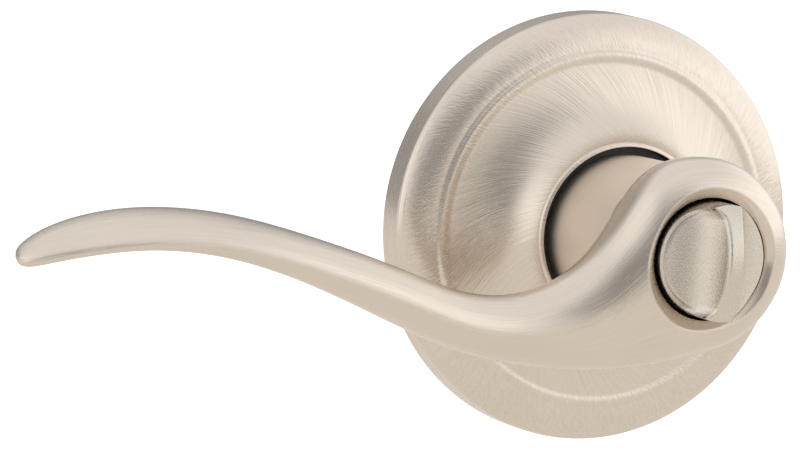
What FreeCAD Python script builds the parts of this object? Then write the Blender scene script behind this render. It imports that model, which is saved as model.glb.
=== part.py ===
import FreeCAD, Part
import math
import os
from FreeCAD import Vector

# Door lever handle, inside half of a privacy set.
# Frame: the door face is the plane y = 0 and the door lies at y > 0.  The
# spindle axis is the Y axis, +Z is up and the lever points towards -X.
# A "depth" is a distance from the door face towards the room, so y = -depth.

# ---- driving dimensions, mm -------------------------------------------------
ROSE_R = 40.3            # rose radius at the door
ROSE_H = 19.0            # top of the rose collar
ROSE_WALL = 1.0
ROSE_HOLE_R = 16.4
NECK_R = 14.9
NECK_TOP = 40.0          # depth of the shoulder inside the lever head
SPIGOT_R = 12.0
SPIGOT_TOP = 44.0
WEB_FRONT = 47.0         # floor of the recess in the lever head
RIM_R = 12.3             # rim of the dished ring round the button
RIM_D = 52.75
RECESS_R = 10.75
RECESS_D = 52.0
BUTTON_R = 10.2
BUTTON_FACE = 53.1       # depth of the button edge beside the scoops
BAR_TOP = 61.8           # depth of the finger bar at mid height
BAR_HALF = 1.4
BAR_CROWN_R = 15.7
SCOOP_R = 8.8
RIM_STEP = 0.35          # raised edge of the rimmed scoop
RIM_WIDTH = 0.65
CORNER_R = 2.1           # round corners of the rimmed scoop beside the bar
CORNER_REST = 0.1        # these corners end this far beyond the inside of the raised edge
BUTTON_LEAN = -5.0       # degrees, the bar stands a little out of upright
SCREW_SPACING = 38.1
SCREW_R = 2.25
SCREW_THREAD_R = 2.05
SCREW_END = -45.0
PLATE_R = 38.0
PLATE_T = 1.6
PLATE_BORE_R = 14.0
HOUSING_R = 24.0
HOUSING_TOP = 7.8
WEB_T = 1.4              # back web of the spring housing
HUB_R = 9.2
HUB_BACK = -7.0
HUB_TOP = 30.0
SPINDLE = 7.9            # across flats
SPINDLE_BACK = -62.0
BLADE_W = 4.0
BLADE_T = 1.5
BLADE_BACK = -66.0
FIT = 0.06               # radial running clearance
SLIP = 0.05              # radial clearance of assembled pieces
TURN = 50.0              # lever turn each way, degrees
SPRING_R = 11.8          # mean radius of the return spring
SPRING_WIRE = 1.0
LEG_ANGLE = 9.0          # half angle between the spring legs
FINGER_ANGLE = 6.0       # half angle of the post and the cam finger

# hidden works
RIVET_ANGLES = (45, 135, 225, 315)
RIVET_AT = 27.2          # rivets of the spring housing
CLIP_ANGLES = (30, 150, 270)
CLIP_RIVET_AT = 33.5
FLANGE_R = 30.0
FLANGE_T = 1.0
SCREW_SEAT = 6.4
STOP_LUG_ANGLE = 7.0     # half angles of the stop lug and of each stop
STOP_HALF = 2.5
NECK_LOW = 9.2
SET_SCREW_R = 2.5
SET_SCREW_D = 25.0
SPINDLE_TOP = 20.0
RING_SEAT_R = 8.5        # groove of the retaining ring in the hub
RING_LOW = 0.45
KEY_W = 4.0
CAM_LOW = 6.35
CAM_T = 1.2
PIN_R = 1.2              # cross pin of the spindle
PIN_D = 14.0
BUSH_R = 4.6
STEM_R = 3.0
STEM_LOW = 31.0
BLADE_TOP = 38.0
CLIP_LOW = 42.8
STEM_PIN_R = 0.82
STEM_PIN_D = 34.0

# Lever stations from the head centre to the tip: distance from the axis,
# depth of the middle, half depth to the front, half depth to the back,
# roll in degrees, height of the middle, half height.
LEVER_STATIONS = [
    (0.0, 47.5, 8.0, 17.0, 0.0, 0.3, 17.3),
    (5.0, 47.3, 7.8, 16.2, 0.0, -0.4, 17.7),
    (10.0, 46.6, 7.0, 13.8, 0.0, -2.3, 16.6),
    (15.0, 45.6, 6.1, 11.0, 0.0, -6.9, 12.4),
    (20.0, 44.8, 6.2, 9.2, 0.0, -9.8, 9.6),
    (26.0, 44.2, 6.1, 7.8, 0.0, -11.4, 7.6),
    (34.0, 43.8, 6.1, 6.8, 4.0, -11.8, 5.8),
    (44.0, 43.6, 6.2, 6.4, 8.0, -9.9, 5.2),
    (56.0, 43.6, 6.3, 6.3, 12.0, -4.1, 5.2),
    (70.0, 43.4, 6.4, 6.4, 17.0, 2.3, 4.0),
    (84.0, 43.0, 6.5, 6.5, 21.0, 7.6, 3.0),
    (98.0, 42.4, 6.4, 6.4, 23.0, 9.7, 1.9),
    (109.0, 41.6, 5.8, 5.8, 24.0, 8.8, 1.8),
    (116.0, 40.9, 4.6, 4.6, 24.0, 7.1, 1.7),
    (119.6, 40.4, 3.2, 3.2, 24.0, 5.6, 1.5),
    (120.9, 40.2, 1.6, 1.6, 24.0, 5.2, 1.0),
]
HEAD_X = 16.8            # reach of the head on the side away from the lever
# Rings of the closed side of the head: polar angle and share of full size.
HEAD_RINGS = [(90.0, 0.0), (90.0, 0.22), (70.0, 0.40), (52.0, 0.63), (35.0, 0.83), (17.0, 0.965)]
RING_POLES = 24
PATCH_KNOTS = 3          # knot spans of each patch of the lever skin

os.makedirs("parts", exist_ok=True)


# ---- helpers ----------------------------------------------------------------
def save(node, shape):
    shape.exportStep("parts/" + node + ".step")


def at(r, depth):
    """A point of a turned profile."""
    return Vector(r, -depth, 0)


def turned(edges):
    """Solid of revolution about the spindle axis from a closed profile."""
    face = Part.Face(Part.Wire(edges))
    return face.revolve(Vector(0, 0, 0), Vector(0, 1, 0), 360)


def line(a, b):
    return Part.makeLine(at(*a), at(*b))


def arc(a, middle, b):
    return Part.Arc(at(*a), at(*middle), at(*b)).toShape()


def bezier(points):
    curve = Part.BezierCurve()
    curve.setPoles([at(*p) for p in points])
    return curve.toShape()


def polygon(points):
    """Closed profile of straight lines."""
    return [line(points[i - 1], points[i]) for i in range(len(points))]


def disc(r, low, high, x=0.0, z=0.0):
    """Cylinder along the depth direction between two depths."""
    return Part.makeCylinder(r, high - low, Vector(x, -high, z), Vector(0, 1, 0))


def ring(outer, inner, low, high, x=0.0, z=0.0):
    return disc(outer, low, high, x, z).cut(disc(inner, low - 1, high + 1, x, z))


def block(x_size, z_size, low, high, x=0.0, z=0.0):
    """Box centred on (x, z) between two depths."""
    corner = Vector(x - x_size / 2, -high, z - z_size / 2)
    return Part.makeBox(x_size, high - low, z_size, corner)


def turn(shape, degrees):
    """Copy of a shape turned about the spindle axis, +X towards +Z."""
    copy = shape.copy()
    copy.rotate(Vector(0, 0, 0), Vector(0, 1, 0), -degrees)
    return copy


def sector(inner, outer, half_angle, low, high, angle):
    """Block between two radii that spans an angle about a direction."""
    a = math.radians(half_angle)
    points = [Vector(r * math.cos(s), -high, r * math.sin(s))
              for r, s in ((inner, -a), (outer, -a), (outer, a), (inner, a))]
    mid_out = Vector(outer, -high, 0)
    mid_in = Vector(inner, -high, 0)
    edges = [
        Part.makeLine(points[0], points[1]),
        Part.Arc(points[1], mid_out, points[2]).toShape(),
        Part.makeLine(points[2], points[3]),
        Part.Arc(points[3], mid_in, points[0]).toShape(),
    ]
    solid = Part.Face(Part.Wire(edges)).extrude(Vector(0, high - low, 0))
    return turn(solid, angle)


def group(solids):
    return Part.makeCompound(solids)


# ---- door side --------------------------------------------------------------
def rose_cover():
    """Pressed cover: drafted wall, ovolo, bead, trumpet and rolled collar."""
    t = ROSE_WALL
    top = ROSE_H
    hole = ROSE_HOLE_R
    outside = [
        line((ROSE_R, 0), (ROSE_R - 0.2, 5.6)),
        arc((ROSE_R - 0.2, 5.6), (ROSE_R - 0.33, 6.19), (ROSE_R - 0.68, 6.71)),
        bezier([(ROSE_R - 0.68, 6.71), (ROSE_R - 2.1, 8.13), (ROSE_R - 4.2, 9.3), (33.9, 9.5)]),
        bezier([(33.9, 9.5), (33.3, 9.55), (33.2, 9.95), (32.5, 9.97)]),
        bezier([(32.5, 9.97), (31.8, 9.99), (31.6, 9.85), (31.0, 9.87)]),
        bezier([(31.0, 9.87), (23.4, 10.65), (18.9, 13.2), (17.3, top - 0.7)]),
        arc((17.3, top - 0.7), (17.02, top - 0.18), (hole + 0.1, top)),
        line((hole + 0.1, top), (hole, top - 0.1)),
    ]
    inside = [
        line((hole, top - 0.1), (hole, top - 2.6)),
        bezier([(hole, top - 2.6), (18.0, 12.6), (22.6, 9.6), (31.0, 8.5)]),
        bezier([(31.0, 8.5), (34.0, 8.3), (38.0, 7.6), (ROSE_R - 0.2 - t, 5.4)]),
        line((ROSE_R - 0.2 - t, 5.4), (ROSE_R - t, 0)),
        line((ROSE_R - t, 0), (ROSE_R, 0)),
    ]
    return turned(outside + inside)


def mounting_plate():
    plate = ring(PLATE_R, PLATE_BORE_R, 0, PLATE_T)
    for side in (-1, 1):
        plate = plate.cut(disc(2.35, -1, 3, side * SCREW_SPACING / 2))
    for angle in RIVET_ANGLES:
        plate = plate.cut(turn(disc(1.65, -1, 3, RIVET_AT), angle))
        plate = plate.cut(turn(disc(2.6, -1, 0.8, RIVET_AT), angle))
    for angle in CLIP_ANGLES:
        plate = plate.cut(turn(disc(1.25, -1, 3, CLIP_RIVET_AT), angle))
        plate = plate.cut(turn(disc(2.0, -1, 0.7, CLIP_RIVET_AT), angle))
    return plate


def spring_housing():
    """Cup with a flange, screw bosses, spring post and turn stops."""
    back = PLATE_T
    floor = back + WEB_T
    cup = ring(HOUSING_R, HUB_R + FIT, back, floor)
    cup = cup.fuse(ring(HOUSING_R, HOUSING_R - 1.3, floor, HOUSING_TOP))
    cup = cup.fuse(ring(FLANGE_R, HOUSING_R - 1.3, back, back + FLANGE_T))
    for side in (-1, 1):
        cup = cup.fuse(disc(4.2, floor, SCREW_SEAT, side * SCREW_SPACING / 2))
    cup = cup.fuse(sector(15.2, 18.2, FINGER_ANGLE, floor, HOUSING_TOP - 1.7, -90))
    for side in (-1, 1):
        angle = 90 + side * (TURN + STOP_LUG_ANGLE + STOP_HALF + 1.0)
        cup = cup.fuse(sector(16.0, HOUSING_R - 1.0, STOP_HALF, floor, HOUSING_TOP, angle))
    for side in (-1, 1):
        cup = cup.cut(disc(2.35, -1, HOUSING_TOP + 1, side * SCREW_SPACING / 2))
        cup = cup.cut(disc(4.2, SCREW_SEAT, HOUSING_TOP + 1, side * SCREW_SPACING / 2))
    for angle in RIVET_ANGLES:
        cup = cup.cut(turn(disc(1.65, -1, 4, RIVET_AT), angle))
    return cup.removeSplitter()


def housing_cover():
    """Cap that slips over the cup, open round the hub and the screw heads."""
    cap = ring(HOUSING_R + 0.9, HUB_R + 0.6, HOUSING_TOP, HOUSING_TOP + 0.8)
    cap = cap.fuse(ring(HOUSING_R + 0.9, HOUSING_R + SLIP, 3.4, HOUSING_TOP))
    for side in (-1, 1):
        cap = cap.cut(disc(4.5, 0, 12, side * SCREW_SPACING / 2))
    return cap.removeSplitter()


def housing_rivets():
    """Round heads on the flange, flat heads sunk in the plate."""
    top = PLATE_T + FLANGE_T
    dome = Part.makeSphere(2.9, Vector(RIVET_AT, -top + 1.6, 0))
    dome = dome.common(disc(3, top, top + 2, RIVET_AT))
    rivet = disc(1.6, 0.2, top, RIVET_AT).fuse(dome)
    rivet = rivet.fuse(disc(2.5, 0.2, 0.75, RIVET_AT)).removeSplitter()
    return group([turn(rivet, angle) for angle in RIVET_ANGLES])


def clip():
    """Bent strip on the plate edge that presses on the rose wall."""
    width = 9.0
    base = Part.makeBox(7.0, 0.5, width, Vector(31.2, -PLATE_T - 0.5, -width / 2))
    post = Part.makeBox(0.5, 4.0, width, Vector(37.7, -PLATE_T - 4.0, -width / 2))
    lip = Part.makeCylinder(0.75, width, Vector(38.15, -PLATE_T - 2.4, -width / 2))
    return base.fuse([post, lip]).removeSplitter()


def rose_clips():
    hole = disc(1.25, -1, 5, CLIP_RIVET_AT)
    return group([turn(clip().cut(hole), angle) for angle in CLIP_ANGLES])


def clip_rivets():
    top = PLATE_T + 0.5
    rivet = disc(1.2, 0.2, top, CLIP_RIVET_AT).fuse(disc(2.0, top, top + 0.8, CLIP_RIVET_AT))
    rivet = rivet.fuse(disc(1.9, 0.2, 0.65, CLIP_RIVET_AT)).removeSplitter()
    return group([turn(rivet, angle) for angle in CLIP_ANGLES])


def wire_arc(start, sweep, level):
    """Round wire bent to an arc about the spindle axis."""
    centre = Vector(SPRING_R, -level, 0)
    profile = Part.Face(Part.Wire(Part.makeCircle(SPRING_WIRE / 2, centre, Vector(0, 0, 1))))
    return turn(profile.revolve(Vector(0, 0, 0), Vector(0, -1, 0), sweep), start)


def on_coil(angle, level):
    a = math.radians(angle)
    return Vector(SPRING_R * math.cos(a), -level, SPRING_R * math.sin(a))


def rod(start, end):
    way = end - start
    return Part.makeCylinder(SPRING_WIRE / 2, way.Length, start, way)


def return_spring():
    """Torsion spring of two turns round the hub, with two radial legs."""
    low = PLATE_T + WEB_T + 0.55
    high = low + 1.1 * SPRING_WIRE
    first = -90 + LEG_ANGLE
    last = 270 - LEG_ANGLE
    step = 18
    step_from = on_coil(last - 9, low)
    step_to = on_coil(last - 9 + step, high)
    pieces = [wire_arc(first, last - 9 - first, low), wire_arc(last - 9 + step, 360 - step + 9, high)]
    pieces.append(rod(step_from, step_to))
    for angle, level in ((first, low), (last, high)):
        foot = on_coil(angle, level)
        leg_end = foot + Vector(foot.x, 0, foot.z) * (8.6 / SPRING_R)
        pieces.append(rod(foot, leg_end))
        pieces.append(Part.makeSphere(SPRING_WIRE / 2, foot))
    for joint in (step_from, step_to):
        pieces.append(Part.makeSphere(SPRING_WIRE / 2, joint))
    return pieces[0].fuse(pieces[1:])


def bearing_bush():
    """Flanged plastic bush that stands on the cover and guides the neck."""
    bore = NECK_R + FIT
    outer = ROSE_HOLE_R - 0.1
    low = HOUSING_TOP + 0.8
    points = [(bore, low), (18.5, low), (18.5, low + 0.8), (outer, low + 0.8), (outer, 17.0), (bore, 17.0)]
    return turned(polygon(points))


def mounting_screw(side):
    """Pan head screw with a cross recess; its shank stands behind the door face."""
    x = side * SCREW_SPACING / 2
    seat = SCREW_SEAT
    head = disc(3.9, seat, seat + 2.1, x)
    head = head.makeFillet(0.7, [e for e in head.Edges if abs(e.CenterOfMass.y + seat + 2.1) < 0.01])
    slot = block(4.6, 0.9, seat + 0.7, seat + 3, x).fuse(block(0.9, 4.6, seat + 0.7, seat + 3, x))
    shank = disc(SCREW_R, -0.3, seat, x)
    thread = disc(SCREW_THREAD_R, SCREW_END, -0.3, x)
    point = [e for e in thread.Edges if abs(e.CenterOfMass.y + SCREW_END) < 0.01]
    thread = thread.makeChamfer(0.6, point)
    return head.cut(slot).fuse([shank, thread])


def mounting_screws():
    return group([mounting_screw(side) for side in (-1, 1)])


# ---- parts that turn with the lever -----------------------------------------
def station_ring(x, depth, front, back, roll, height, half, share=1.0):
    """Control ring of the lever surface: two half ellipses, rolled."""
    swell = 6.0 / (4.0 + 2.0 * math.cos(2 * math.pi / RING_POLES))
    tilt = math.radians(roll)
    points = []
    for i in range(RING_POLES):
        t = math.pi + 2 * math.pi * i / RING_POLES
        reach = front if math.cos(t) > 0 else back
        u = reach * share * swell * math.cos(t)
        v = half * share * swell * math.sin(t)
        out = u * math.cos(tilt) + v * math.sin(tilt)
        up = v * math.cos(tilt) - u * math.sin(tilt)
        points.append(Vector(x, -(depth + out), height + up))
    return points


def lever_rings():
    rings = []
    head = LEVER_STATIONS[0]
    for angle, share in HEAD_RINGS:
        x = HEAD_X * math.sin(math.radians(angle))
        rings.append(station_ring(x, *head[1:], share=share))
    for station in LEVER_STATIONS:
        rings.append(station_ring(-station[0], *station[1:]))
    tip = LEVER_STATIONS[-1]
    rings.append(station_ring(-tip[0], *tip[1:], share=0.0))
    return rings


def lever_surface():
    """Closed smooth skin from the control rings."""
    poles = lever_rings()
    rows = len(poles)
    surface = Part.BSplineSurface()
    knots_along = [float(i) for i in range(rows - 2)]
    mults_along = [4] + [1] * (rows - 4) + [4]
    knots_round = [float(i) for i in range(RING_POLES + 1)]
    mults_round = [1] * (RING_POLES + 1)
    surface.buildFromPolesMultsKnots(
        poles, mults_along, mults_round, knots_along, knots_round, False, True, 3, 3)
    surface.setVNotPeriodic()
    return surface


def lever_blank():
    """Solid inside the skin, which is divided along the lever and in quarters round it."""
    skin = lever_surface()
    last = len(LEVER_STATIONS) + len(HEAD_RINGS) - 2
    along = list(range(0, last, PATCH_KNOTS)) + [last]
    quarter = RING_POLES // 4
    faces = []
    for i in range(len(along) - 1):
        for j in range(4):
            patch = skin.copy()
            patch.segment(along[i], along[i + 1], j * quarter, (j + 1) * quarter)
            faces.append(patch.toShape())
    shell = Part.makeShell(faces)
    shell.sewShape()
    solid = Part.Solid(shell)
    if solid.Volume < 0:
        solid.reverse()
    return solid


def lever_handle():
    """Lever with the neck socket behind and the dished recess in front."""
    slope = (RIM_D - RECESS_D) / (RIM_R - RECESS_R)
    outer = RIM_R + 2.0
    recess = [
        (0, WEB_FRONT), (RECESS_R, WEB_FRONT), (RECESS_R, RECESS_D),
        (outer, RIM_D + 2.0 * slope), (outer, RIM_D + 5), (0, RIM_D + 5)]
    socket = disc(NECK_R + 0.1, 20, NECK_TOP + 0.2).fuse(disc(SPIGOT_R + SLIP, 30, SPIGOT_TOP))
    bore = disc(BUSH_R + SLIP, 30, 60)
    return lever_blank().cut([turned(polygon(recess)), socket, bore])


def neck_sleeve():
    """Matt sleeve with a spigot for the lever head and a screw hole below."""
    low = NECK_LOW
    points = [
        (HUB_R + SLIP, low), (NECK_R - 0.4, low), (NECK_R, low + 0.4), (NECK_R, NECK_TOP),
        (SPIGOT_R, NECK_TOP), (SPIGOT_R, SPIGOT_TOP - 0.1), (7.0, SPIGOT_TOP - 0.1),
        (7.0, HUB_TOP + 0.1), (HUB_R + SLIP, HUB_TOP + 0.1)]
    sleeve = turned(polygon(points))
    hole = Part.makeCylinder(SET_SCREW_R + SLIP, 20, Vector(0, -SET_SCREW_D, 0), Vector(0, 0, -1))
    return sleeve.cut(hole)


def set_screw():
    """Socket set screw in the underside of the neck."""
    flat_end = HUB_R - 0.5
    body = Part.makeCylinder(SET_SCREW_R, 5.6, Vector(0, -SET_SCREW_D, -flat_end), Vector(0, 0, -1))
    key = 1.25 / math.cos(math.radians(30))
    corners = []
    for i in range(7):
        a = math.radians(60 * i)
        corner = Vector(key * math.cos(a), -SET_SCREW_D + key * math.sin(a), -flat_end - 2.6)
        corners.append(corner)
    socket = Part.Face(Part.makePolygon(corners)).extrude(Vector(0, 0, -4))
    return body.cut(socket)


def drive_hub():
    """Steel tube: square hole for the spindle, circlip groove, cam keyways."""
    tube = disc(HUB_R, HUB_BACK, HUB_TOP)
    tube = tube.cut(block(SPINDLE + 0.1, SPINDLE + 0.1, HUB_BACK - 1, SPINDLE_TOP + 0.1))
    tube = tube.cut(disc(5.2, SPINDLE_TOP, HUB_TOP + 1))
    tube = tube.cut(ring(HUB_R + 1, RING_SEAT_R, RING_LOW - 0.05, RING_LOW + 1.05))
    for side in (-1, 1):
        tube = tube.cut(block(2.2, KEY_W + 0.1, HUB_BACK - 1, CAM_LOW + CAM_T, side * HUB_R))
    seat = Part.makeCylinder(SET_SCREW_R + 0.1, 4, Vector(0, -SET_SCREW_D, -HUB_R + 0.5), Vector(0, 0, -1))
    pin = Part.makeCylinder(PIN_R + 0.02, 30, Vector(-15, -PIN_D, 0), Vector(1, 0, 0))
    return tube.cut([seat, pin])


def spring_cam():
    """Plate keyed to the hub, with the spring finger and the stop lug."""
    high = CAM_LOW + CAM_T
    plate = ring(14.4, HUB_R + SLIP, CAM_LOW, high)
    for side in (-1, 1):
        plate = plate.fuse(block(1.3, KEY_W, CAM_LOW, high, side * (HUB_R - 0.35)))
    plate = plate.fuse(sector(14.0, 21.6, FINGER_ANGLE, CAM_LOW, high, -90))
    plate = plate.fuse(sector(19.2, 21.6, FINGER_ANGLE, 3.4, CAM_LOW, -90))
    plate = plate.fuse(sector(14.0, 21.6, STOP_LUG_ANGLE, CAM_LOW, high, 90))
    return plate.removeSplitter()


def thrust_washer():
    return ring(14.0, HUB_R + 0.1, HOUSING_TOP + 0.95, NECK_LOW - 0.02)


def retaining_ring():
    """External circlip with a gap and two plier holes."""
    clip_ring = ring(11.4, RING_SEAT_R + 0.02, RING_LOW, RING_LOW + 1.0)
    clip_ring = clip_ring.cut(block(5.0, 8.0, -2, 4, 0, -11))
    for side in (-1, 1):
        ear = disc(1.9, RING_LOW, RING_LOW + 1.0, side * 3.9, -10.8)
        ear = ear.cut(disc(HUB_R + 0.1, -2, 4))
        clip_ring = clip_ring.fuse(ear)
        clip_ring = clip_ring.cut(disc(0.7, -2, 4, side * 4.0, -11.0))
    return clip_ring.removeSplitter()


def latch_spindle():
    """Hollow square bar through the latch."""
    bar = block(SPINDLE, SPINDLE, SPINDLE_BACK, SPINDLE_TOP)
    long_edges = [e for e in bar.Edges if abs(e.Length - (SPINDLE_TOP - SPINDLE_BACK)) < 0.01]
    bar = bar.makeChamfer(0.5, long_edges)
    bar = bar.cut(disc(2.7, SPINDLE_BACK - 1, SPINDLE_TOP + 1))
    pin = Part.makeCylinder(PIN_R + 0.02, 30, Vector(-15, -PIN_D, 0), Vector(1, 0, 0))
    return bar.cut(pin)


def spindle_pin():
    """Two short halves of a cross pin, clear of the blade in the middle."""
    halves = []
    for side in (-1, 1):
        start = Vector(side * 2.9, -PIN_D, 0)
        halves.append(Part.makeCylinder(PIN_R, HUB_R - 3.0, start, Vector(side, 0, 0)))
    return group(halves)


def button_bush():
    """Flanged plastic bush in the web of the lever head."""
    low = SPIGOT_TOP + 0.1
    bore = STEM_R + FIT
    points = [
        (bore, low), (BUSH_R, low), (BUSH_R, WEB_FRONT), (BUSH_R + 1.4, WEB_FRONT),
        (BUSH_R + 1.4, WEB_FRONT + 0.5), (bore, WEB_FRONT + 0.5)]
    return turned(polygon(points))


def wave_washer():
    """Spring washer with three waves between the web and the button."""
    inner = 6.3
    outer = 8.6
    thick = 0.25
    waves = 3
    rise = 0.22
    steps = 36
    middle = WEB_FRONT + 0.55
    rows = []
    for r in (inner, outer):
        row = []
        for i in range(steps):
            a = 2 * math.pi * i / steps
            level = middle + rise * math.cos(waves * a)
            row.append(Vector(r * math.cos(a), -level, r * math.sin(a)))
        curve = Part.BSplineCurve()
        curve.interpolate(Points=row, PeriodicFlag=True)
        rows.append(curve.toShape())
    face = Part.makeRuledSurface(rows[0], rows[1])
    return face.extrude(Vector(0, -thick, 0))


# ---- parts that turn with the button ----------------------------------------
def turn_button():
    """Round knob with a crowned finger bar between an open scoop and a rimmed one."""
    knob = disc(BUTTON_R, 48.3, BAR_TOP)
    crown_at = Vector(-20, -(BAR_TOP - BAR_CROWN_R), 0)
    knob = knob.common(Part.makeCylinder(BAR_CROWN_R, 40, crown_at, Vector(1, 0, 0)))
    knob = knob.cut(scoop(1, SCOOP_R))
    outline = pocket_outline()
    pocket = outline.common(disc(BUTTON_R - RIM_WIDTH, 50, BAR_TOP + 1))
    knob = knob.cut(scoop(-1, SCOOP_R - RIM_STEP).common(outline))
    knob = knob.cut(scoop(-1, SCOOP_R).common(pocket))
    knob = turn(knob, BUTTON_LEAN)
    return knob.cut(block(4.2, 4.2, 47, 51.5)).removeSplitter()


def scoop(side, radius):
    """Upright cylinder that hollows one side of the knob up to the bar."""
    x = side * (BAR_HALF + SCOOP_R)
    centre = Vector(x, -(BUTTON_FACE - RIM_STEP + SCOOP_R), -20)
    return Part.makeCylinder(radius, 40, centre, Vector(0, 0, 1))


def pocket_outline():
    """Block on the lever side of the bar; its two round corners widen the bar's ends."""
    high = BUTTON_R - RIM_WIDTH + CORNER_REST
    outline = block(20, 2 * high, 50, BAR_TOP + 1, -BAR_HALF - 10)
    corners = [edge for edge in outline.Edges
               if edge.BoundBox.YLength > 5 and edge.CenterOfMass.x > -BAR_HALF - 1]
    return outline.makeFillet(CORNER_R, corners)


def button_stem():
    """Square end in the button, round shank, circlip groove, blade slot."""
    stem = disc(STEM_R, STEM_LOW, 48.2)
    stem = stem.fuse(block(4.1, 4.1, 48.0, 51.4))
    stem = stem.cut(ring(STEM_R + 1, 2.3, CLIP_LOW - 0.05, CLIP_LOW + 0.85))
    stem = stem.cut(block(BLADE_W + 0.1, BLADE_T + 0.1, STEM_LOW - 1, BLADE_TOP + 0.1))
    pin = Part.makeCylinder(STEM_PIN_R, 20, Vector(0, -STEM_PIN_D, -10), Vector(0, 0, 1))
    return stem.cut(pin).removeSplitter()


def torque_blade():
    blade = block(BLADE_W, BLADE_T, BLADE_BACK, BLADE_TOP)
    end = [e for e in blade.Edges if abs(e.CenterOfMass.y + BLADE_BACK) < 0.01 and e.Length < 2]
    blade = blade.makeChamfer(0.9, end)
    pin = Part.makeCylinder(STEM_PIN_R, 20, Vector(0, -STEM_PIN_D, -10), Vector(0, 0, 1))
    return blade.cut(pin)


def stem_pin():
    return Part.makeCylinder(STEM_PIN_R - 0.02, 6.4, Vector(0, -STEM_PIN_D, -3.2), Vector(0, 0, 1))


def button_clip():
    """E-shaped clip on the stem behind the web."""
    clip_ring = ring(5.0, 3.4, CLIP_LOW, CLIP_LOW + 0.8)
    clip_ring = clip_ring.cut(block(4.4, 8.0, 40, 46, 0, -5.4))
    for angle in (0, 90, 180):
        tooth = block(1.4, 1.8, CLIP_LOW, CLIP_LOW + 0.8, 3.05)
        clip_ring = clip_ring.fuse(turn(tooth, angle))
    return clip_ring.cut(disc(2.33, 40, 46)).removeSplitter()


PARTS = (
    rose_cover, mounting_plate, spring_housing, housing_cover, housing_rivets, rose_clips,
    clip_rivets, return_spring, bearing_bush, mounting_screws,
    lever_handle, neck_sleeve, set_screw, drive_hub, spring_cam, thrust_washer, retaining_ring,
    latch_spindle, spindle_pin, button_bush, wave_washer,
    turn_button, button_stem, torque_blade, stem_pin, button_clip,
)

for make in PARTS:
    save(make.__name__, make())
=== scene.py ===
import math

import bpy
import bmesh
import numpy as np
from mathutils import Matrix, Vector
from mathutils.bvhtree import BVHTree


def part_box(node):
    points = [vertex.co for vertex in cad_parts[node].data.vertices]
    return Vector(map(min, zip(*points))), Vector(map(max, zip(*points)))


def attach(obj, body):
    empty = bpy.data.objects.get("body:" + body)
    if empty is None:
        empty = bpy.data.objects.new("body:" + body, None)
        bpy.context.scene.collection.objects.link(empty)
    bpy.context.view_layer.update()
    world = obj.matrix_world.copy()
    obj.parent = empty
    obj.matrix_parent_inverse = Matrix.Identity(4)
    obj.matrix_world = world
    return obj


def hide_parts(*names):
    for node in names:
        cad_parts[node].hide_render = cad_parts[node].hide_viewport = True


# Looks of a door lever handle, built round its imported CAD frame.
# Frame: the door face is the plane y = 0 and the door lies at y > 0.  The
# spindle axis is the Y axis, +Z is up and the lever points towards -X.
# A depth is a distance from the door face towards the room, so y = -depth.
# Shapes are worked out in millimetres and stored in metres.

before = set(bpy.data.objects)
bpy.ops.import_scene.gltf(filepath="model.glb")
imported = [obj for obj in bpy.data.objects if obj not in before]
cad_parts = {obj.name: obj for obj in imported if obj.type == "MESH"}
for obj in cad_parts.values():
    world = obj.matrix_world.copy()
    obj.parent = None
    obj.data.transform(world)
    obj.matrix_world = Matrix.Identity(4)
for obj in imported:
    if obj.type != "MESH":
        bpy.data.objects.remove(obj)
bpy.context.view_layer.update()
MM = 0.001


def reach(node, axis, side):
    """Extent of a CAD node along an axis, in mm; side 0 is low and 1 is high."""
    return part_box(node)[side][axis] / MM


# ---- driving dimensions, mm -------------------------------------------------
ROSE_R = reach("rose_cover", 0, 1)
ROSE_H = -reach("rose_cover", 1, 0)
ROSE_HOLE_R = 16.4
ROSE_WALL = 1.0
NECK_R = reach("neck_sleeve", 0, 1)
BUTTON_BACK = -reach("turn_button", 1, 1)
BAR_TOP = -reach("turn_button", 1, 0)
BUTTON_R = 10.2
SOCKET_R = NECK_R + 0.3      # open seam between the neck and the head
SOCKET_TOP = 40.2
SPIGOT_R = 12.05
SPIGOT_TOP = 44.0
WEB_FRONT = 47.0
BUSH_BORE_R = 4.65
RECESS_R = 10.75             # bore round the button
RECESS_D = 52.0
RIM_R = 12.3                 # dished ring round the bore
RIM_D = 52.75
RIM_ROUND = 0.34
BUTTON_FACE = 53.1
BAR_HALF = 1.4
BAR_CROWN_R = 15.7
SCOOP_R = 8.8
RIM_STEP = 0.35
RIM_WIDTH = 0.65
RIM_EDGE = 0.15              # rounding of the button's outer edge
RIM_RAMP = 0.12              # width of the step up to the raised edge
BAR_EDGE = 0.6               # rounding of the bar's edge over the rimmed pocket
BAR_EDGE_SHARP = 0.2         # rounding of the other edge
BAR_FOOT_ANGLE = 0.14        # radians of the scoop that this rounding takes up
BAR_ROWS = 34                # points down each scoop
CORNER_R = 2.1               # round corners of the rimmed pocket beside the bar
RIM_GROOVE = 0.22            # fine groove inside the raised edge
GROOVE_WIDTH = 0.6
BUTTON_BEVEL = 0.2           # bevel of the button's hidden back edge
ARC_INSET = 0.293            # of its radius: the middle of a quarter round inside its corner
BUTTON_LEAN = 5.0            # degrees, the top of the bar leans towards +X

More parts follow.
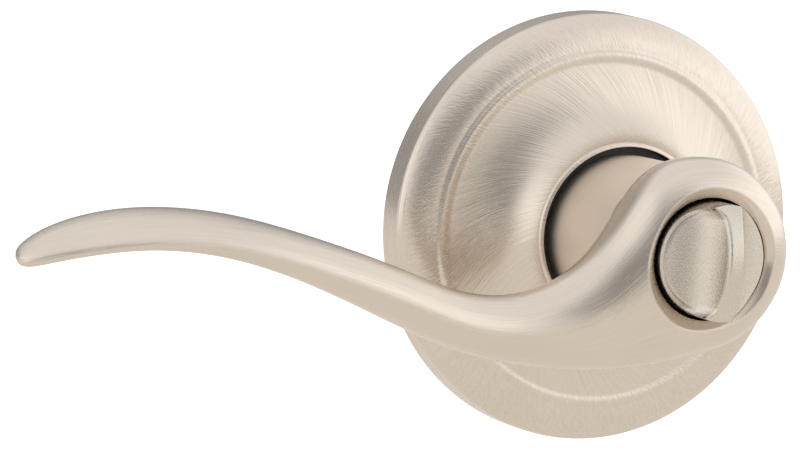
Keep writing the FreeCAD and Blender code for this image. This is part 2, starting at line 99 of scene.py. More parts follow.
# Lever stations: distance from the axis, depth of the middle, half depth to
# the front and to the back, roll in degrees, height of the middle, half height.
LEVER_STATIONS = [
    (0.0, 47.5, 8.0, 17.0, 0.0, 0.3, 17.3),
    (5.0, 47.3, 7.8, 16.2, 0.0, -0.4, 17.7),
    (10.0, 46.6, 7.0, 13.8, 0.0, -2.3, 16.6),
    (15.0, 45.6, 6.1, 11.0, 0.0, -6.9, 12.4),
    (20.0, 44.8, 6.2, 9.2, 0.0, -9.8, 9.6),
    (26.0, 44.2, 6.1, 7.8, 0.0, -11.4, 7.6),
    (34.0, 43.8, 6.1, 6.8, 4.0, -11.8, 5.8),
    (44.0, 43.6, 6.2, 6.4, 8.0, -9.9, 5.2),
    (56.0, 43.6, 6.3, 6.3, 12.0, -4.1, 5.2),
    (70.0, 43.4, 6.4, 6.4, 17.0, 2.3, 4.0),
    (84.0, 43.0, 6.5, 6.5, 21.0, 7.6, 3.0),
    (98.0, 42.4, 6.4, 6.4, 23.0, 9.7, 1.9),
    (109.0, 41.6, 5.8, 5.8, 24.0, 8.8, 1.8),
    (116.0, 40.9, 4.6, 4.6, 24.0, 7.1, 1.7),
    (119.6, 40.4, 3.2, 3.2, 24.0, 5.6, 1.5),
    (120.9, 40.2, 1.6, 1.6, 24.0, 5.2, 1.0),
]
HEAD_X = 16.8
HEAD_RINGS = [(90.0, 0.0), (90.0, 0.22), (70.0, 0.40), (52.0, 0.63), (35.0, 0.83), (17.0, 0.965)]
RING_POLES = 24
BLADE_BLUNT = 0.42           # how square the front edge of the blade grows
BLADE_THIN = 0.09            # and how much thinner the blade gets
BLADE_FROM = 55.0
BLADE_FADE = 35.0
LEVER_ROWS = 520
LEVER_COLS = 200
ROSE_COLS = 480
RIM_COLS = 240
BUTTON_ROWS = 260


# ---- camera -----------------------------------------------------------------
CAMERA_AT = (-0.259204, -0.540865, 0.077752)
CAMERA_AZIMUTH = -22.348
CAMERA_ELEVATION = 7.447
CAMERA_LENS = 144.0


def make_camera():
    data = bpy.data.cameras.new("camera")
    data.lens = CAMERA_LENS
    data.sensor_width = 36.0
    data.clip_start = 0.01
    data.clip_end = 50.0
    camera = bpy.data.objects.new("camera", data)
    bpy.context.scene.collection.objects.link(camera)
    azimuth = math.radians(CAMERA_AZIMUTH)
    elevation = math.radians(CAMERA_ELEVATION)
    back = Vector((math.sin(azimuth) * math.cos(elevation),
                   -math.cos(azimuth) * math.cos(elevation),
                   math.sin(elevation)))
    camera.location = CAMERA_AT
    camera.rotation_mode = "QUATERNION"
    camera.rotation_quaternion = (-back).to_track_quat("-Z", "Y")
    bpy.context.scene.camera = camera


# ---- mesh helpers -----------------------------------------------------------
def grid_mesh(name, points, u, v, loop_rows=False):
    """Mesh from rows of points in mm, closed round the columns.

    u has one value a row and v one a column and one more; they are stored in
    the UV map "grain", which the brushed finishes follow."""
    rows, cols = points.shape[:2]
    last = rows if loop_rows else rows - 1
    i = np.repeat(np.arange(last), cols)
    j = np.tile(np.arange(cols), last)
    k = (i + 1) % rows
    l = (j + 1) % cols
    quads = np.stack([i * cols + j, i * cols + l, k * cols + l, k * cols + j], 1)
    mesh = bpy.data.meshes.new(name)
    mesh.from_pydata((points.reshape(-1, 3) * MM).tolist(), [], quads.tolist())
    layer = mesh.uv_layers.new(name="grain")
    corners = np.stack([
        np.stack([u[i], v[j]], 1), np.stack([u[i], v[j + 1]], 1),
        np.stack([u[i + 1], v[j + 1]], 1), np.stack([u[i + 1], v[j]], 1)], 1)
    layer.data.foreach_set("uv", corners.astype(np.float32).ravel())
    weld(mesh)
    obj = bpy.data.objects.new(name, mesh)
    bpy.context.scene.collection.objects.link(obj)
    return obj


def turn_grain(obj, length):
    """Makes the grain run round the piece; length is that of one turn in mm."""
    layer = obj.data.uv_layers["grain"]
    places = np.zeros(2 * len(layer.data), np.float32)
    layer.data.foreach_get("uv", places)
    along, turn = places[0::2].copy(), places[1::2].copy()
    places[0::2] = turn * length
    places[1::2] = along / length
    layer.data.foreach_set("uv", places)


def weld(mesh, distance=1e-7):
    """Merges points that coincide and turns the faces outwards."""
    work = bmesh.new()
    work.from_mesh(mesh)
    bmesh.ops.remove_doubles(work, verts=work.verts, dist=distance)
    bmesh.ops.recalc_face_normals(work, faces=work.faces)
    work.to_mesh(mesh)
    work.free()


def finish_mesh(obj, sharp):
    """Smooth shading with edges kept sharp above an angle in degrees."""
    obj.data.shade_smooth()
    obj.data.set_sharp_from_angle(angle=math.radians(sharp))


def cut(target, cutter):
    """Takes the cutter's space out of the target and removes the cutter."""
    step = target.modifiers.new("cut", "BOOLEAN")
    step.operation = "DIFFERENCE"
    step.solver = "EXACT"
    step.object = cutter
    graph = bpy.context.evaluated_depsgraph_get()
    result = bpy.data.meshes.new_from_object(
        target.evaluated_get(graph), preserve_all_data_layers=True, depsgraph=graph)
    target.modifiers.clear()
    target.data = result
    bpy.data.objects.remove(cutter)


def turned(name, profile, cols, loop=True):
    """Solid of revolution from a profile of (radius, depth) in mm."""
    profile = np.array(profile, float)
    angle = np.linspace(0, 2 * np.pi, cols, endpoint=False)
    r = profile[:, 0][:, None]
    points = np.stack([
        r * np.cos(angle), np.repeat(-profile[:, 1][:, None], cols, 1), r * np.sin(angle)], 2)
    steps = np.linalg.norm(np.diff(profile, axis=0, append=profile[:1]), axis=1)
    along = np.concatenate([[0], np.cumsum(steps)])
    around = np.linspace(0, 1, cols + 1)
    return grid_mesh(name, points, along, around, loop_rows=loop)


def arc(a, middle, b, count):
    """Points of the circle through three points, without the last."""
    (ax, ay), (bx, by), (cx, cy) = a, middle, b
    d = 2 * (ax * (by - cy) + bx * (cy - ay) + cx * (ay - by))
    sa, sb, sc = ax * ax + ay * ay, bx * bx + by * by, cx * cx + cy * cy
    x = (sa * (by - cy) + sb * (cy - ay) + sc * (ay - by)) / d
    y = (sa * (cx - bx) + sb * (ax - cx) + sc * (bx - ax)) / d
    radius = math.hypot(ax - x, ay - y)
    first, mid, last = (math.atan2(q - y, p - x) for p, q in (a, middle, b))
    mid = first + math.remainder(mid - first, 2 * math.pi)
    last = mid + math.remainder(last - mid, 2 * math.pi)
    t = np.linspace(first, last, count, endpoint=False)
    return list(zip(x + radius * np.cos(t), y + radius * np.sin(t)))


def bezier(poles, count):
    """Points of a Bezier curve of degree two or three, without the last."""
    t = np.linspace(0, 1, count, endpoint=False)[:, None]
    p = np.array(poles, float)
    if len(p) == 3:
        q = (1 - t) ** 2 * p[0] + 2 * t * (1 - t) * p[1] + t ** 2 * p[2]
    else:
        q = ((1 - t) ** 3 * p[0] + 3 * t * (1 - t) ** 2 * p[1]
             + 3 * t ** 2 * (1 - t) * p[2] + t ** 3 * p[3])
    return [tuple(x) for x in q]


def line(a, b, count):
    """Points of a straight line, without the last."""
    t = np.linspace(0, 1, count, endpoint=False)[:, None]
    return [tuple(x) for x in (1 - t) * np.array(a, float) + t * np.array(b, float)]


def smooth(share):
    """Eased step from 0 to 1."""
    share = np.clip(share, 0.0, 1.0)
    return share * share * (3 - 2 * share)


# ---- rose -------------------------------------------------------------------
def rose_profile():
    """Drafted wall, ovolo, bead, trumpet and rolled collar, then the inside."""
    r, top, hole = ROSE_R, ROSE_H, ROSE_HOLE_R
    t = ROSE_WALL
    outside = (
        line((r - 0.05, 0.0), (r, 0.15), 2)
        + line((r, 0.15), (r - 0.2, 5.6), 16)
        + arc((r - 0.2, 5.6), (r - 0.33, 6.19), (r - 0.68, 6.71), 12)
        + bezier([(r - 0.68, 6.71), (r - 2.1, 8.13), (r - 4.2, 9.3), (33.9, 9.5)], 26)
        + bezier([(33.9, 9.5), (33.3, 9.55), (33.2, 9.95), (32.5, 9.97)], 10)
        + bezier([(32.5, 9.97), (31.8, 9.99), (31.6, 9.85), (31.0, 9.87)], 10)
        + bezier([(31.0, 9.87), (23.4, 10.65), (18.9, 13.2), (17.3, top - 0.7)], 50)
        + arc((17.3, top - 0.7), (17.02, top - 0.18), (hole + 0.1, top), 10))
    inside = (
        line((hole + 0.1, top), (hole, top - 0.1), 1)
        + line((hole, top - 0.1), (hole, top - 2.6), 3)
        + bezier([(hole, top - 2.6), (18.0, 12.6), (22.6, 9.6), (31.0, 8.5)], 12)
        + bezier([(31.0, 8.5), (34.0, 8.3), (38.0, 7.6), (r - 0.2 - t, 5.4)], 8)
        + line((r - 0.2 - t, 5.4), (r - t, 0.0), 3)
        + line((r - t, 0.0), (r - 0.05, 0.0), 2))
    return outside + inside


def make_rose():
    rose = turned("rose_shell", rose_profile(), ROSE_COLS)
    finish_mesh(rose, 50.0)
    return rose


# ---- lever ------------------------------------------------------------------
def station_ring(x, depth, front, back, roll, height, half, share=1.0):
    """Control ring of the lever surface: two half ellipses, rolled.

    Towards the tip the front half grows blunt, which leaves a crease above the edge."""
    swell = 6.0 / (4.0 + 2.0 * math.cos(2 * math.pi / RING_POLES))
    tilt = math.radians(roll)
    t = np.pi + 2 * np.pi * np.arange(RING_POLES) / RING_POLES
    blade = float(smooth((-x - BLADE_FROM) / BLADE_FADE))
    blunt = 1 - BLADE_BLUNT * blade
    across = np.cos(t)
    level = np.sign(across) * np.where(across > 0, np.abs(across) ** blunt, np.abs(across))
    u = np.where(across > 0, front, back) * share * swell * level
    v = half * (1 - BLADE_THIN * blade) * share * swell * np.sin(t)
    out = u * math.cos(tilt) + v * math.sin(tilt)
    up = v * math.cos(tilt) - u * math.sin(tilt)
    return np.stack([np.full(RING_POLES, x), -(depth + out), height + up], 1)


def lever_rings():
    head = LEVER_STATIONS[0]
    rings = [station_ring(HEAD_X * math.sin(math.radians(angle)), *head[1:], share=share)
             for angle, share in HEAD_RINGS]
    rings += [station_ring(-station[0], *station[1:]) for station in LEVER_STATIONS]
    tip = LEVER_STATIONS[-1]
    rings.append(station_ring(-tip[0], *tip[1:], share=0.0))
    return np.array(rings)


def clamped_weights(count, where):
    """Cubic B-spline weights for a row of poles that ends at its end poles."""
    knots = np.concatenate([[0] * 3, np.arange(count - 2), [count - 3] * 3]).astype(float)
    weights = np.zeros((len(where), len(knots) - 1))
    last = np.searchsorted(knots, knots[-1], side="left") - 1
    span = np.minimum(np.searchsorted(knots, where, side="right") - 1, last)
    weights[np.arange(len(where)), span] = 1.0
    for degree in (1, 2, 3):
        fresh = np.zeros_like(weights)
        for i in range(len(knots) - 1 - degree):
            left = knots[i + degree] - knots[i]
            right = knots[i + degree + 1] - knots[i + 1]
            if left > 0:
                fresh[:, i] += (where - knots[i]) / left * weights[:, i]
            if right > 0:
                fresh[:, i] += (knots[i + degree + 1] - where) / right * weights[:, i + 1]
        weights = fresh
    return weights[:, :count]


def ring_weights(count, samples):
    """Cubic B-spline weights for a closed ring of poles."""
    weights = np.zeros((samples, count))
    for q in range(samples):
        s = q * count / samples
        i = int(s)
        f = s - i
        parts = ((1 - f) ** 3, 3 * f ** 3 - 6 * f ** 2 + 4, -3 * f ** 3 + 3 * f ** 2 + 3 * f + 1, f ** 3)
        for k in range(4):
            weights[q, (i - 1 + k) % count] += parts[k] / 6
    return weights


def lever_blank():
    """Dense smooth skin of the lever from the control rings."""
    poles = lever_rings()
    where = lever_row_places(len(poles) - 3)
    a = clamped_weights(len(poles), where)
    b = ring_weights(RING_POLES, LEVER_COLS)
    points = np.einsum("ui,ijk,vj->uvk", a, poles, b)
    points[0] = points[0].mean(0)
    points[-1] = points[-1].mean(0)
    centre = points.mean(1)
    along = np.concatenate([[0], np.cumsum(np.linalg.norm(np.diff(centre, axis=0), axis=1))])
    return grid_mesh("lever_skin", points, along, np.linspace(0, 1, LEVER_COLS + 1))


def lever_row_places(spans):
    """Rows of the lever surface, closer together over the head and the tip."""
    head = np.linspace(0, 10, LEVER_ROWS // 2, endpoint=False)
    arm = np.linspace(10, spans - 3, LEVER_ROWS // 3, endpoint=False)
    tip = np.linspace(spans - 3, spans, LEVER_ROWS - len(head) - len(arm))
    return np.concatenate([head, arm, tip])


def rim_cutter(skin):
    """Recess of the head: bore, dished ring and a rounded rim that follows the skin."""
    work = bmesh.new()
    work.from_mesh(skin.data)
    tree = BVHTree.FromBMesh(work)
    work.free()

    def skin_depth(r, a):
        start = Vector((r * math.cos(a) * MM, -0.09, r * math.sin(a) * MM))
        hit = tree.ray_cast(start, Vector((0, 1, 0)))[0]
        return -hit.y / MM

    slope = (RIM_D - RECESS_D) / (RIM_R - RECESS_R)
    columns = []
    for a in np.linspace(0, 2 * np.pi, RIM_COLS, endpoint=False):
        low, high = RECESS_R, 15.5
        for _ in range(14):
            r = (low + high) / 2
            if skin_depth(r, a) > RECESS_D + slope * (r - RECESS_R):
                low = r
            else:
                high = r
        d = RECESS_D + slope * (r - RECESS_R)
        outer = r + RIM_ROUND
        columns.append(
            [(0.0, 30.0), (BUSH_BORE_R, 30.0), (BUSH_BORE_R, WEB_FRONT), (RECESS_R, WEB_FRONT),
             (RECESS_R, RECESS_D - 0.12), (RECESS_R + 0.1, RECESS_D + 0.02)]
            + bezier([(r - RIM_ROUND, d - slope * RIM_ROUND), (r, d), (outer, skin_depth(outer, a))], 9)
            + [(outer, skin_depth(outer, a) + 0.01), (outer + 1.5, skin_depth(outer + 1.5, a) + 0.25),
               (outer + 1.5, 70.0), (0.0, 70.0)])
    profile = np.array(columns)
    angle = np.linspace(0, 2 * np.pi, RIM_COLS, endpoint=False)
    r = profile[:, :, 0].T
    points = np.stack([r * np.cos(angle), -profile[:, :, 1].T, r * np.sin(angle)], 2)
    rows = len(points)
    cutter = grid_mesh("recess", points, np.linspace(0, 10, rows + 1), np.linspace(0, 1, RIM_COLS + 1))
    turn_grain(cutter, 2 * math.pi * RIM_R)
    return cutter


def socket_cutter():
    """Space for the neck and its spigot behind the head."""
    profile = [(0.0, 20.0), (SOCKET_R, 20.0), (SOCKET_R, SOCKET_TOP), (SPIGOT_R, SOCKET_TOP),
               (SPIGOT_R, SPIGOT_TOP), (0.0, SPIGOT_TOP)]
    return turned("socket", profile, RIM_COLS, loop=False)


def make_lever():
    lever = lever_blank()
    cut(lever, rim_cutter(lever))
    cut(lever, socket_cutter())
    finish_mesh(lever, 38.0)
    return lever


# ---- turn button ------------------------------------------------------------
def button_rows():
    """Slices of the button across its bar, each a closed loop of (x, depth)."""
    psi = np.linspace(-np.pi / 2, np.pi / 2, BUTTON_ROWS)
    return BUTTON_R * np.sin(psi), BUTTON_R * np.cos(psi)


def bar_flare(z):
    """How far the bar widens near its ends, where the pockets have round corners."""
    into = min(max(abs(z) - (BUTTON_R - RIM_WIDTH - CORNER_R), 0.0), CORNER_R)
    return CORNER_R - math.sqrt(CORNER_R ** 2 - into ** 2)


def scoop_depth(x, radius, half):
    """Depth of one scoop at a distance x from the middle of a bar of this half width."""
    gap = np.clip(half + SCOOP_R - x, 0, radius * 0.9999)
    return BUTTON_FACE - RIM_STEP + SCOOP_R - np.sqrt(radius ** 2 - gap ** 2)


def rim_groove(x, z):
    """How much lower a pocket's floor runs just inside its raised edge."""
    inner = BUTTON_R - RIM_WIDTH
    return -RIM_GROOVE * smooth((np.hypot(x, z) - inner + GROOVE_WIDTH) / GROOVE_WIDTH)


def half_slice(z, width, rimmed):
    """Half loop from the middle of the bar out, down the wall and to the back."""
    step = RIM_STEP if rimmed else 0.0
    half = BAR_HALF + (bar_flare(z) if rimmed else 0.0)
    crown = BAR_TOP - BAR_CROWN_R + math.sqrt(BAR_CROWN_R ** 2 - z ** 2)
    deep = BUTTON_FACE - RIM_STEP + SCOOP_R
    sink = min(max((deep - crown) / SCOOP_R, 0.0), 1.0)
    top_angle = math.asin(sink)
    land = half + SCOOP_R * (1 - math.cos(top_angle))
    low_angle = top_angle + BAR_FOOT_ANGLE
    foot = (half + SCOOP_R * (1 - math.cos(low_angle)), deep - SCOOP_R * math.sin(low_angle))
    inner = math.sqrt(max((BUTTON_R - RIM_WIDTH) ** 2 - z ** 2, 0.0))
    inner = max(inner, foot[0])
    end_angle = math.acos(min(max(1 - (inner - half) / SCOOP_R, 0.0), 1.0))
    edge = BAR_EDGE if rimmed else BAR_EDGE_SHARP
    points = line((0.0, crown), (land - edge, crown), 6)
    points += bezier([(land - edge, crown), (land, crown), foot], 10)
    for angle in np.linspace(low_angle, end_angle, BAR_ROWS, endpoint=False):
        x = half + SCOOP_R * (1 - math.cos(angle))
        points.append((x, deep - SCOOP_R * math.sin(angle) + rimmed * float(rim_groove(x, z))))
    low = float(scoop_depth(inner, SCOOP_R, half) + rimmed * rim_groove(inner, z))
    for share in np.linspace(0, 1, 6, endpoint=False):
        x = inner + RIM_RAMP * share
        high = float(scoop_depth(x, SCOOP_R - step, half))
        points.append((x, low + (high - low) * float(smooth(share))))
    for x in np.linspace(inner + RIM_RAMP, width - RIM_EDGE, 5, endpoint=False):
        points.append((x, float(scoop_depth(x, SCOOP_R - step, half))))
    rim = min(float(scoop_depth(width - RIM_EDGE, SCOOP_R - step, half)), crown)
    inset = ARC_INSET * RIM_EDGE
    points += arc((width - RIM_EDGE, rim), (width - inset, rim - inset), (width, rim - RIM_EDGE), 6)
    points += line((width, rim - RIM_EDGE), (width, BUTTON_BACK + BUTTON_BEVEL), 8)
    points += line((width, BUTTON_BACK + BUTTON_BEVEL), (width - BUTTON_BEVEL, BUTTON_BACK), 2)
    points += line((width - BUTTON_BEVEL, BUTTON_BACK), (0.0, BUTTON_BACK), 4)
    out = np.array(points)
    out[:, 0] = np.clip(out[:, 0], 0, width)
    out[:, 1] = np.minimum(out[:, 1], crown)
    return out


def make_button():
    heights, widths = button_rows()
    loops = []
    for z, width in zip(heights, widths):
        right = half_slice(z, width, False)
        left = half_slice(z, width, True)[::-1] * np.array([-1, 1])
        back = np.array([[0.0, BUTTON_BACK]])
        loop = np.concatenate([right, back, left[:-1]])
        loops.append(np.stack([loop[:, 0], -loop[:, 1], np.full(len(loop), z)], 1))
    points = np.array(loops)
    lean = math.radians(BUTTON_LEAN)
    x = points[:, :, 0] * math.cos(lean) + points[:, :, 2] * math.sin(lean)
    z = points[:, :, 2] * math.cos(lean) - points[:, :, 0] * math.sin(lean)
    points = np.stack([x, points[:, :, 1], z], 2)
    cols = points.shape[1]
    button = grid_mesh("button_shell", points, heights, np.linspace(0, 1, cols + 1))
    finish_mesh(button, 35.0)
    return button


# ---- shader helpers ---------------------------------------------------------
class Graph:
    """Short way to write a node tree."""

    def __init__(self, tree):
        self.tree = tree
        tree.nodes.clear()

    def node(self, kind, inputs=None, **settings):
        made = self.tree.nodes.new(kind)
        for name, value in settings.items():
            setattr(made, name, value)
        for name, value in (inputs or {}).items():
            self.put(made.inputs[name], value)
        return made

    def put(self, socket, value):
        if isinstance(value, bpy.types.NodeSocket):
            self.tree.links.new(value, socket)
        else:
            socket.default_value = value

    def math(self, operation, *values):
        made = self.node("ShaderNodeMath", operation=operation)
        for i, value in enumerate(values):
            self.put(made.inputs[i], value)
        return made.outputs[0]

    def join(self, x, y, z):
        return self.node("ShaderNodeCombineXYZ", {"X": x, "Y": y, "Z": z}).outputs[0]

    def noise(self, vector, scale=1.0, detail=3.0, rough=0.5):
        made = self.node("ShaderNodeTexNoise", {"Vector": vector, "Scale": scale, "Detail": detail,
                                                "Roughness": rough})
        return made.outputs["Fac"]

    def remap(self, value, low, high, to_low, to_high):
        made = self.node("ShaderNodeMapRange", {"Value": value, "From Min": low, "From Max": high,
                                                "To Min": to_low, "To Max": to_high})
        return made.outputs[0]

    def mix(self, factor, a, b):
        made = self.node("ShaderNodeMix", data_type="RGBA")
        self.put(made.inputs[0], factor)
        self.put(made.inputs[6], a)
        self.put(made.inputs[7], b)
        return made.outputs[2]


def new_material(name):
    material = bpy.data.materials.new(name)
    material.use_nodes = True
    return material, Graph(material.node_tree)


def close_metal(graph, colour, roughness, height, distance, metallic=1.0, **fixed):
    """Principled shader with bump, on the output; fixed values sit on its own sockets."""
    bump = graph.node("ShaderNodeBump", {"Height": height, "Distance": distance, "Strength": 1.0})
    shader = graph.node("ShaderNodeBsdfPrincipled", {
        "Base Color": colour, "Roughness": roughness, "Normal": bump.outputs[0]})
    shader.inputs["Metallic"].default_value = metallic
    for socket, value in fixed.items():
        shader.inputs[socket.replace("_", " ")].default_value = value
    graph.node("ShaderNodeOutputMaterial", {"Surface": shader.outputs[0]})
    return shader


def ring_noise(graph, angle, cells, depth):
    """Noise round a ring, with a number of cells a turn; depth moves through it."""
    size = cells / (2 * math.pi)
    x = graph.math("MULTIPLY", graph.math("COSINE", angle), size)
    y = graph.math("MULTIPLY", graph.math("SINE", angle), size)
    return graph.noise(graph.join(x, y, depth), 1.0, 2.0, 0.6)


def strokes(graph, turn, along, lines, length, twist=0.0, seed=0.0):
    """Long thin noise: lines a turn across the strokes, length mm along them."""
    angle = graph.math("MULTIPLY_ADD", turn, 2 * math.pi, graph.math("MULTIPLY", along, twist))
    return ring_noise(graph, angle, lines, graph.math("MULTIPLY_ADD", along, 1.0 / length, seed))


def hoops(graph, turn, along, width, lengths):
    """Strokes round the axis: width mm apart, a number of lengths a turn."""
    angle = graph.math("MULTIPLY", turn, 2 * math.pi)
    return ring_noise(graph, angle, lengths, graph.math("MULTIPLY", along, 1.0 / width))


def blend(graph, value, low, high, a, b):
    """a below low, b above high."""
    share = graph.node("ShaderNodeMapRange", {"Value": value, "From Min": low, "From Max": high},
                       interpolation_type="SMOOTHSTEP").outputs[0]
    return graph.math("ADD", graph.math("MULTIPLY", a, graph.math("SUBTRACT", 1.0, share)),
                      graph.math("MULTIPLY", b, share))


NICKEL = (0.78, 0.70, 0.62, 1.0)
NICKEL_DARK = (0.61, 0.535, 0.455, 1.0)
# Painted shade: a near-black colour for the walls of the bores round the button and inside the rose's collar,
# where the recesses lie in shadow.
BORE_PAINTED_SHADE = (0.04, 0.035, 0.03, 1.0)


def inside_bore(graph, place, radius, depth):
    """One inside a bore round the axis below a depth in mm, none outside it; it places the painted shade on
    the bore walls.
    """
    x, y, z = graph.node("ShaderNodeSeparateXYZ", {"Vector": place}).outputs
    length = graph.node("ShaderNodeVectorMath", {0: graph.join(x, 0.0, z)}, operation="LENGTH")
    across = length.outputs["Value"]
    near = graph.remap(across, (radius + 0.02) * MM, (radius + 0.12) * MM, 1.0, 0.0)
    below = graph.remap(y, -depth * MM, (0.3 - depth) * MM, 0.0, 1.0)
    return graph.math("MULTIPLY", near, below)


def brushed(graph, height, depth, rough, aniso, bore):
    """Satin nickel whose tone, gloss and relief follow a stroke pattern.

    The wall of the bore is painted near black as shade, where the recess lies in shadow, and is given a
    rougher gloss."""
    place = graph.node("ShaderNodeTexCoord").outputs["Object"]
    # Painted shade: mask of the bore wall, which takes the near-black shade colour and a rougher gloss.
    bore_shade = inside_bore(graph, place, *bore)
    cloud = graph.noise(place, 70.0, 2.0)
    tone = graph.math("MULTIPLY_ADD", graph.math("SUBTRACT", height, 0.5), 1.5, 0.5)
    tone = graph.math("MULTIPLY_ADD", cloud, 0.25, graph.math("MULTIPLY", tone, 0.75))
    colour = graph.mix(bore_shade, graph.mix(tone, NICKEL_DARK, NICKEL), BORE_PAINTED_SHADE)
    roughness = graph.remap(height, 0.25, 0.75, rough + 0.06, rough - 0.06)
    roughness = graph.math("MULTIPLY_ADD", bore_shade, 0.4, roughness)
    shader = close_metal(graph, colour, roughness, height, depth, Anisotropic=aniso)
    tangent = graph.node("ShaderNodeTangent", direction_type="UV_MAP", uv_map="grain")
    graph.put(shader.inputs["Tangent"], tangent.outputs[0])


def grain_axes(graph):
    """Distance in mm along the strokes' rows and share of a turn round them."""
    grain = graph.node("ShaderNodeUVMap", uv_map="grain").outputs[0]
    split = graph.node("ShaderNodeSeparateXYZ", {"Vector": grain})
    return split.outputs[0], split.outputs[1]


def rose_material():
    """Hoops on the wall, short hatching on the ovolo, spiral fans on the trumpet."""
    material, g = new_material("nickel_brushed_rose")
    along, turn = grain_axes(g)
    wall = hoops(g, turn, along, 0.28, 24.0)
    hatch = g.math("MULTIPLY_ADD", strokes(g, turn, along, 620.0, 1.6, 0.016), 0.6,
                   g.math("MULTIPLY", strokes(g, turn, along, 380.0, 2.6, 0.004, 20.0), 0.4))
    fans = g.math("MULTIPLY_ADD", strokes(g, turn, along, 620.0, 9.0, 0.026, 40.0), 0.55,
                  g.math("MULTIPLY", strokes(g, turn, along, 300.0, 14.0, 0.026, 60.0), 0.45))
    height = blend(g, along, 6.0, 8.5, wall, blend(g, along, 14.5, 18.0, hatch, fans))
    # The last argument places the painted shade on the wall of the rose's hole.
    brushed(g, height, 0.00008, 0.26, 0.35, (ROSE_HOLE_R, ROSE_H))
    return material


def lever_material():
    """Strokes that run along the lever and wrap round its head."""
    material, g = new_material("nickel_brushed_lever")
    along, turn = grain_axes(g)
    height = g.math("MULTIPLY_ADD", strokes(g, turn, along, 560.0, 12.0, 0.001), 0.55,
                    g.math("MULTIPLY", strokes(g, turn, along, 300.0, 24.0, 0.0, 30.0), 0.45))
    # The last argument places the painted shade on the wall of the bore round the button.
    brushed(g, height, 0.00004, 0.19, 0.35, (RECESS_R, RECESS_D - 0.05))
    return material


def grained_metal(name, colour, dark, rough, scale, depth, metallic):
    """Metal or plastic with an even fine grain and faint clouds."""
    material, g = new_material(name)
    place = g.node("ShaderNodeTexCoord").outputs["Object"]
    grain = g.noise(place, scale, 3.0, 0.6)
    cloud = g.noise(place, 90.0, 2.0)
    tone = g.math("MULTIPLY_ADD", cloud, 0.4, g.math("MULTIPLY", grain, 0.6))
    mixed = g.mix(tone, dark, colour)
    roughness = g.remap(grain, 0.2, 0.8, rough - 0.06, rough + 0.06)
    close_metal(g, mixed, roughness, grain, depth, metallic=metallic)
    return material


# Finishes with an even grain: material name, colour, dark colour, roughness,
# grain scale, relief in metres and how metallic.
GRAINED = {
    "neck": ("nickel_matt", (0.93, 0.83, 0.71), (0.74, 0.65, 0.55), 0.46, 3000.0, 0.00004, 1.0),
    "button": ("nickel_blasted", (0.80, 0.73, 0.645), (0.47, 0.43, 0.375), 0.27, 3600.0, 0.00006, 1.0),
    "zinc": ("zinc_plate", (0.72, 0.74, 0.76), (0.58, 0.60, 0.62), 0.35, 1500.0, 0.00002, 1.0),
    "bright": ("bright_steel", (0.75, 0.75, 0.74), (0.62, 0.62, 0.62), 0.24, 2000.0, 0.00001, 1.0),
    "spring": ("spring_wire", (0.45, 0.44, 0.43), (0.30, 0.29, 0.28), 0.30, 2500.0, 0.00001, 1.0),
    "machined": ("machined_steel", (0.58, 0.57, 0.56), (0.45, 0.44, 0.43), 0.30, 1800.0, 0.00002, 1.0),
    "oxide": ("black_oxide", (0.07, 0.07, 0.075), (0.03, 0.03, 0.03), 0.42, 2500.0, 0.00001, 1.0),
    "screw": ("screw_plating", (0.70, 0.66, 0.55), (0.55, 0.52, 0.42), 0.30, 2500.0, 0.00001, 1.0),
    "nylon": ("black_nylon", (0.025, 0.024, 0.023), (0.012, 0.012, 0.012), 0.50, 1200.0, 0.00002, 0.0),
    "acetal": ("white_acetal", (0.78, 0.77, 0.73), (0.70, 0.69, 0.65), 0.42, 1200.0, 0.00001, 0.0),
}


def make_materials():
    made = {"rose": rose_material(), "lever": lever_material()}
    for finish, (name, colour, dark, rough, scale, depth, metallic) in GRAINED.items():
        made[finish] = grained_metal(name, (*colour, 1), (*dark, 1), rough, scale, depth, metallic)
    return made


NODE_FINISH = {
    "mounting_plate": "zinc", "spring_housing": "zinc", "housing_cover": "zinc", "housing_rivets": "bright",
    "rose_clips": "spring", "clip_rivets": "bright", "return_spring": "spring", "bearing_bush": "nylon",
    "mounting_screws": "screw", "neck_sleeve": "neck", "set_screw": "oxide", "drive_hub": "machined",
    "spring_cam": "machined", "thrust_washer": "bright", "retaining_ring": "oxide", "latch_spindle": "bright",
    "spindle_pin": "machined", "button_bush": "acetal", "wave_washer": "spring", "button_stem": "machined",
    "torque_blade": "bright", "stem_pin": "machined", "button_clip": "oxide",
}


# ---- studio -----------------------------------------------------------------
# Plain soft studio in neutral white: a dim room, a large softbox at each side
# and a soft ceiling.  Azimuths run from the front towards +X, in degrees.
ROOM_LIGHT = 0.35
SOFTBOXES = [(75.0, 60.0, 1.05), (-90.0, 35.0, 0.95)]    # azimuth, half width, strength
BOX_SOFTNESS = 15.0
CEILING_LIGHT = 1.0
CEILING_FROM = 20.0          # elevations over which the ceiling takes over
CEILING_FULL = 50.0
BACKDROP_LIGHT = 1.7         # what the camera sees behind the object


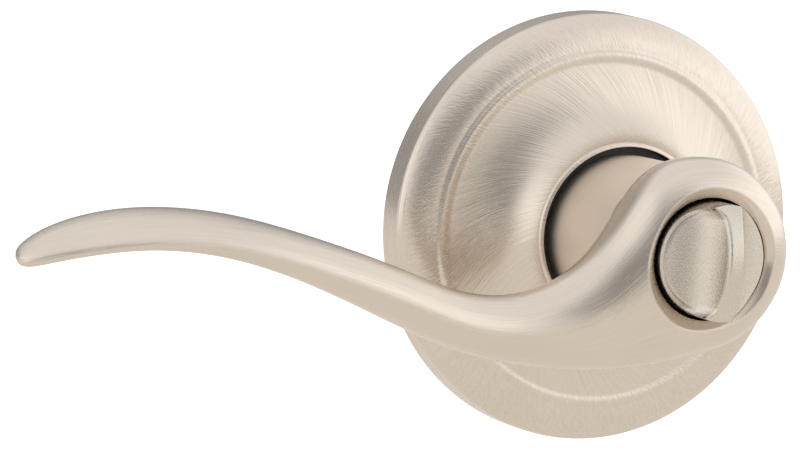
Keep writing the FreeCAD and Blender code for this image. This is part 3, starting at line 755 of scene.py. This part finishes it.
def make_world():
    world = bpy.data.worlds.new("studio")
    bpy.context.scene.world = world
    world.use_nodes = True
    g = Graph(world.node_tree)
    way = g.node("ShaderNodeTexCoord").outputs["Generated"]
    x, y, z = g.node("ShaderNodeSeparateXYZ", {"Vector": way}).outputs
    azimuth = g.math("DEGREES", g.math("ARCTAN2", x, g.math("MULTIPLY", y, -1.0)))
    elevation = g.math("DEGREES", g.math("ARCSINE", z))
    light = ROOM_LIGHT
    for centre, half, strength in SOFTBOXES:
        away = g.math("ABSOLUTE", g.math("WRAP", g.math("SUBTRACT", azimuth, centre), 180.0, -180.0))
        glow = g.remap(away, half - BOX_SOFTNESS, half + BOX_SOFTNESS, strength, 0.0)
        light = g.math("ADD", glow, light)
    ceiling = g.remap(elevation, CEILING_FROM, CEILING_FULL, 0.0, 1.0)
    light = g.math("MULTIPLY_ADD", ceiling, g.math("SUBTRACT", CEILING_LIGHT, light), light)
    seen = g.node("ShaderNodeLightPath").outputs["Is Camera Ray"]
    shown = g.math("MULTIPLY_ADD", seen, g.math("SUBTRACT", BACKDROP_LIGHT, light), light)
    back = g.node("ShaderNodeBackground", {"Color": (1.0, 1.0, 1.0, 1.0), "Strength": shown})
    g.node("ShaderNodeOutputWorld", {"Surface": back.outputs[0]})


def make_floor():
    """Plain pale floor well below the handle."""
    size, level = 8.0, -0.25
    mesh = bpy.data.meshes.new("floor")
    corners = [(-size, -size, level), (size, -size, level), (size, size, level), (-size, size, level)]
    mesh.from_pydata(corners, [], [(0, 1, 2, 3)])
    floor = bpy.data.objects.new("floor", mesh)
    bpy.context.scene.collection.objects.link(floor)
    material, g = new_material("pale_floor")
    seen = g.node("ShaderNodeLightPath").outputs["Is Camera Ray"]
    shader = g.node("ShaderNodeBsdfPrincipled", {"Roughness": 0.9, "Base Color": (0.93, 0.89, 0.83, 1.0),
                                                 "Emission Color": (1.0, 1.0, 1.0, 1.0),
                                                 "Emission Strength": g.math("MULTIPLY", seen, 0.4)})
    g.node("ShaderNodeOutputMaterial", {"Surface": shader.outputs[0]})
    mesh.materials.append(material)


# ---- assembly ---------------------------------------------------------------
def dress(obj, material):
    obj.data.materials.clear()
    obj.data.materials.append(material)


def place(obj, body, node, slot, material):
    dress(obj, material)
    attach(obj, body)
    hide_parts(node)


finishes = make_materials()
for node, finish in NODE_FINISH.items():
    dress(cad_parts[node], finishes[finish])
place(make_rose(), "trim", "rose_cover", "satin_nickel_brushed", finishes["rose"])
place(make_lever(), "lever", "lever_handle", "satin_nickel_brushed_lever", finishes["lever"])
place(make_button(), "button", "turn_button", "satin_nickel_blasted", finishes["button"])
make_camera()
make_world()
make_floor()
bpy.context.scene.view_settings.view_transform = "Standard"
